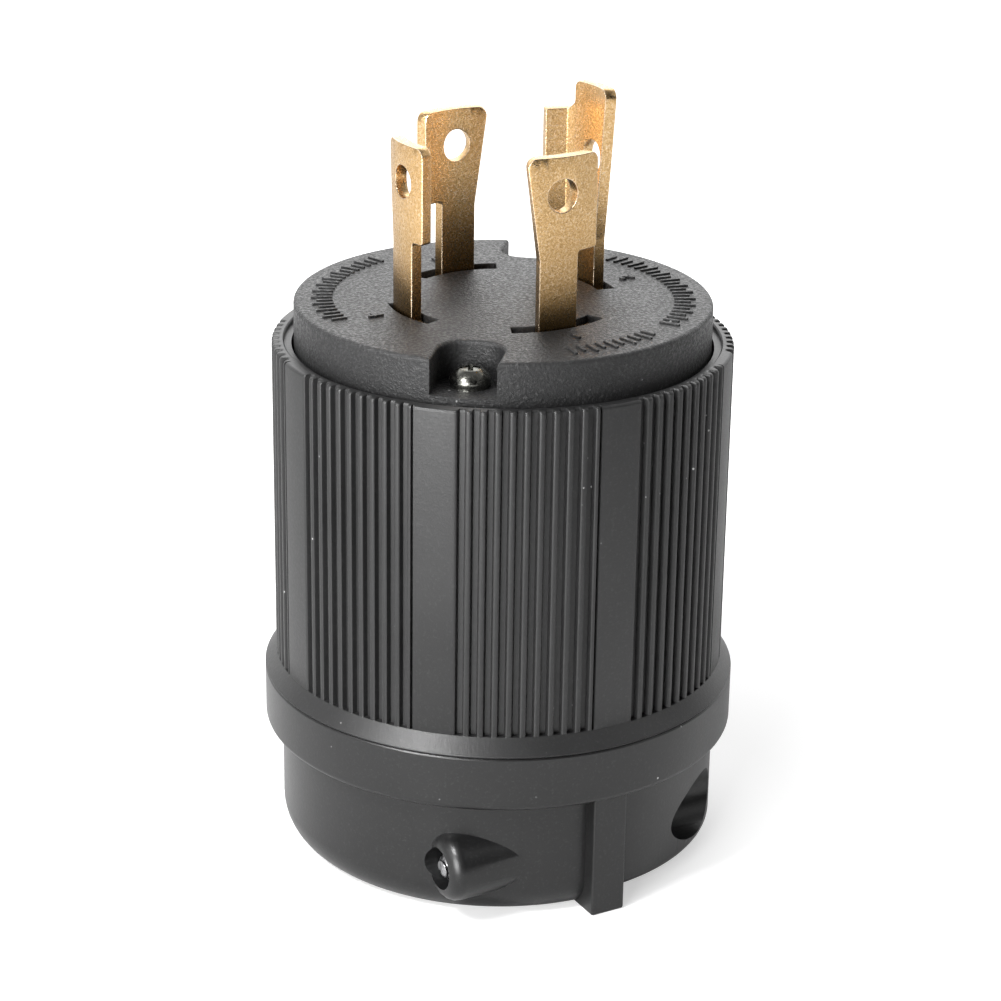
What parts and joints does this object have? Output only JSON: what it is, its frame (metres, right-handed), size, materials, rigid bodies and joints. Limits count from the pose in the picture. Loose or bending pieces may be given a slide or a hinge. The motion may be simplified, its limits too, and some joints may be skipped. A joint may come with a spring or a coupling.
{
  "type": "locking power plug",
  "caption": "Round black twist-locking power plug with curved brass blades on its face, a ribbed grip sleeve and a screw-tightened cord clamp at the rear.",
  "frame": {"origin": "centre of the cord entry's mouth, on the plug's axis, at the bottom of the rear housing", "axes": "+Z along the plug's axis from the cord end to the blades, -Y towards the viewer of the picture, +X to the right"},
  "size_m": [0.0588, 0.0604, 0.0943],
  "materials": {
    "nylon_shell": "fine satin black nylon",
    "nylon_face": "matte grained black nylon",
    "nylon_inner": "matte black nylon",
    "brass_blade": "tumbled brass",
    "brass_terminal": "plain brass",
    "steel_screw": "zinc plated steel",
    "green_screw": "green chromate steel"
  },
  "bodies": {
    "plug": {"rear_housing": "nylon_shell", "grip_sleeve": "nylon_shell", "face_insert": "nylon_face", "blade_retainer": "nylon_inner", "retainer_screw": "steel_screw", "assembly_screw_front": "steel_screw", "assembly_screw_back": "steel_screw", "clamp_nut_front": "brass_terminal", "clamp_nut_back": "brass_terminal", "blade_line_one": "brass_blade", "blade_line_two": "brass_blade", "blade_neutral": "brass_blade", "blade_ground": "brass_blade", "clamp_plate_line_one": "brass_terminal", "clamp_plate_line_two": "brass_terminal", "clamp_plate_neutral": "brass_terminal", "clamp_plate_ground": "brass_terminal", "terminal_screw_line_one": "steel_screw", "terminal_screw_line_two": "steel_screw", "terminal_screw_neutral": "steel_screw", "terminal_screw_ground": "green_screw"},
    "jaw": {"clamp_jaw": "nylon_shell", "clamp_screw_front": "steel_screw", "clamp_screw_back": "steel_screw"}
  },
  "joints": [
    {"name": "jaw_slide", "type": "slide", "parent": "plug", "child": "jaw", "axis": [0.8729, 0.4879, 0], "range_m": [0, 0.006]}
  ]
}
